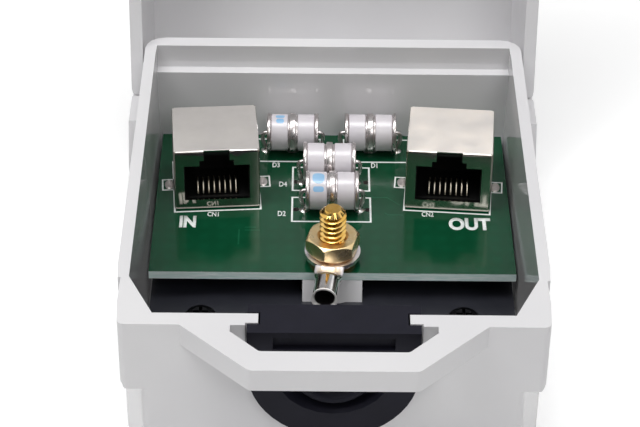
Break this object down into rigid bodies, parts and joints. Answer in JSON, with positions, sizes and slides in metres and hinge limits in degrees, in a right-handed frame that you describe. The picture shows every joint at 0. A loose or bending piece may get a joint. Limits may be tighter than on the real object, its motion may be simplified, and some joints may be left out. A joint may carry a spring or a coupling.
{
  "type": "ethernet surge protector",
  "caption": "Light grey moulded box with an open hinged lid, holding a green board with shielded modular jacks, gas discharge tubes and a brass ground terminal.",
  "frame": {"origin": "the middle of the housing's flat back face", "axes": "X to the right seen from the cable entry, Y from the cable entry to the hinge, Z out of the back face towards the lid"},
  "size_m": [0.0778, 0.1324, 0.1095],
  "materials": {
    "grey_plastic": "light grey moulded plastic, satin",
    "black_plastic": "black moulded plastic",
    "black_soft_plastic": "black grommet, matt",
    "dark_screw": "blackened steel screw",
    "circuit_board": "glass-fibre board with green solder mask",
    "nickel_sheet": "nickel-plated folded sheet",
    "jack_insulator": "black moulded plastic",
    "gold_contact": "gold-plated spring contact",
    "ceramic": "white ceramic ring",
    "electrode": "tinned electrode and lead",
    "brass": "polished brass",
    "tinned_copper": "tinned copper lug"
  },
  "bodies": {
    "base": {"housing": "grey_plastic", "cable_entry_insert": "black_soft_plastic", "base_plate": "black_plastic", "base_screw_left": "dark_screw", "base_screw_right": "dark_screw", "circuit_board": "circuit_board", "in_jack_shield": "nickel_sheet", "in_jack_insulator": "jack_insulator", "in_jack_contact_1": "gold_contact", "in_jack_contact_2": "gold_contact", "in_jack_contact_3": "gold_contact", "in_jack_contact_4": "gold_contact", "in_jack_contact_5": "gold_contact", "in_jack_contact_6": "gold_contact", "in_jack_contact_7": "gold_contact", "in_jack_contact_8": "gold_contact", "out_jack_shield": "nickel_sheet", "out_jack_insulator": "jack_insulator", "out_jack_contact_1": "gold_contact", "out_jack_contact_2": "gold_contact", "out_jack_contact_3": "gold_contact", "out_jack_contact_4": "gold_contact", "out_jack_contact_5": "gold_contact", "out_jack_contact_6": "gold_contact", "out_jack_contact_7": "gold_contact", "out_jack_contact_8": "gold_contact", "gas_tube_d1_end_left": "electrode", "gas_tube_d1_ceramic_left": "ceramic", "gas_tube_d1_centre": "electrode", "gas_tube_d1_ceramic_right": "ceramic", "gas_tube_d1_end_right": "electrode", "gas_tube_d2_end_left": "electrode", "gas_tube_d2_ceramic_left": "ceramic", "gas_tube_d2_centre": "electrode", "gas_tube_d2_ceramic_right": "ceramic", "gas_tube_d2_end_right": "electrode", "gas_tube_d3_end_left": "electrode", "gas_tube_d3_ceramic_left": "ceramic", "gas_tube_d3_centre": "electrode", "gas_tube_d3_ceramic_right": "ceramic", "gas_tube_d3_end_right": "electrode", "gas_tube_d4_end_left": "electrode", "gas_tube_d4_ceramic_left": "ceramic", "gas_tube_d4_centre": "electrode", "gas_tube_d4_ceramic_right": "ceramic", "gas_tube_d4_end_right": "electrode", "ground_screw": "brass", "ground_lug": "tinned_copper", "ground_washer": "brass", "ground_nut": "brass"},
    "lid": {"lid": "grey_plastic"}
  },
  "joints": [
    {"name": "lid_hinge", "type": "hinge", "parent": "base", "child": "lid", "pos_m": [0, 0.0404, 0.0235], "axis": [-1, 0, 0], "range_deg": [-100, 0]}
  ]
}
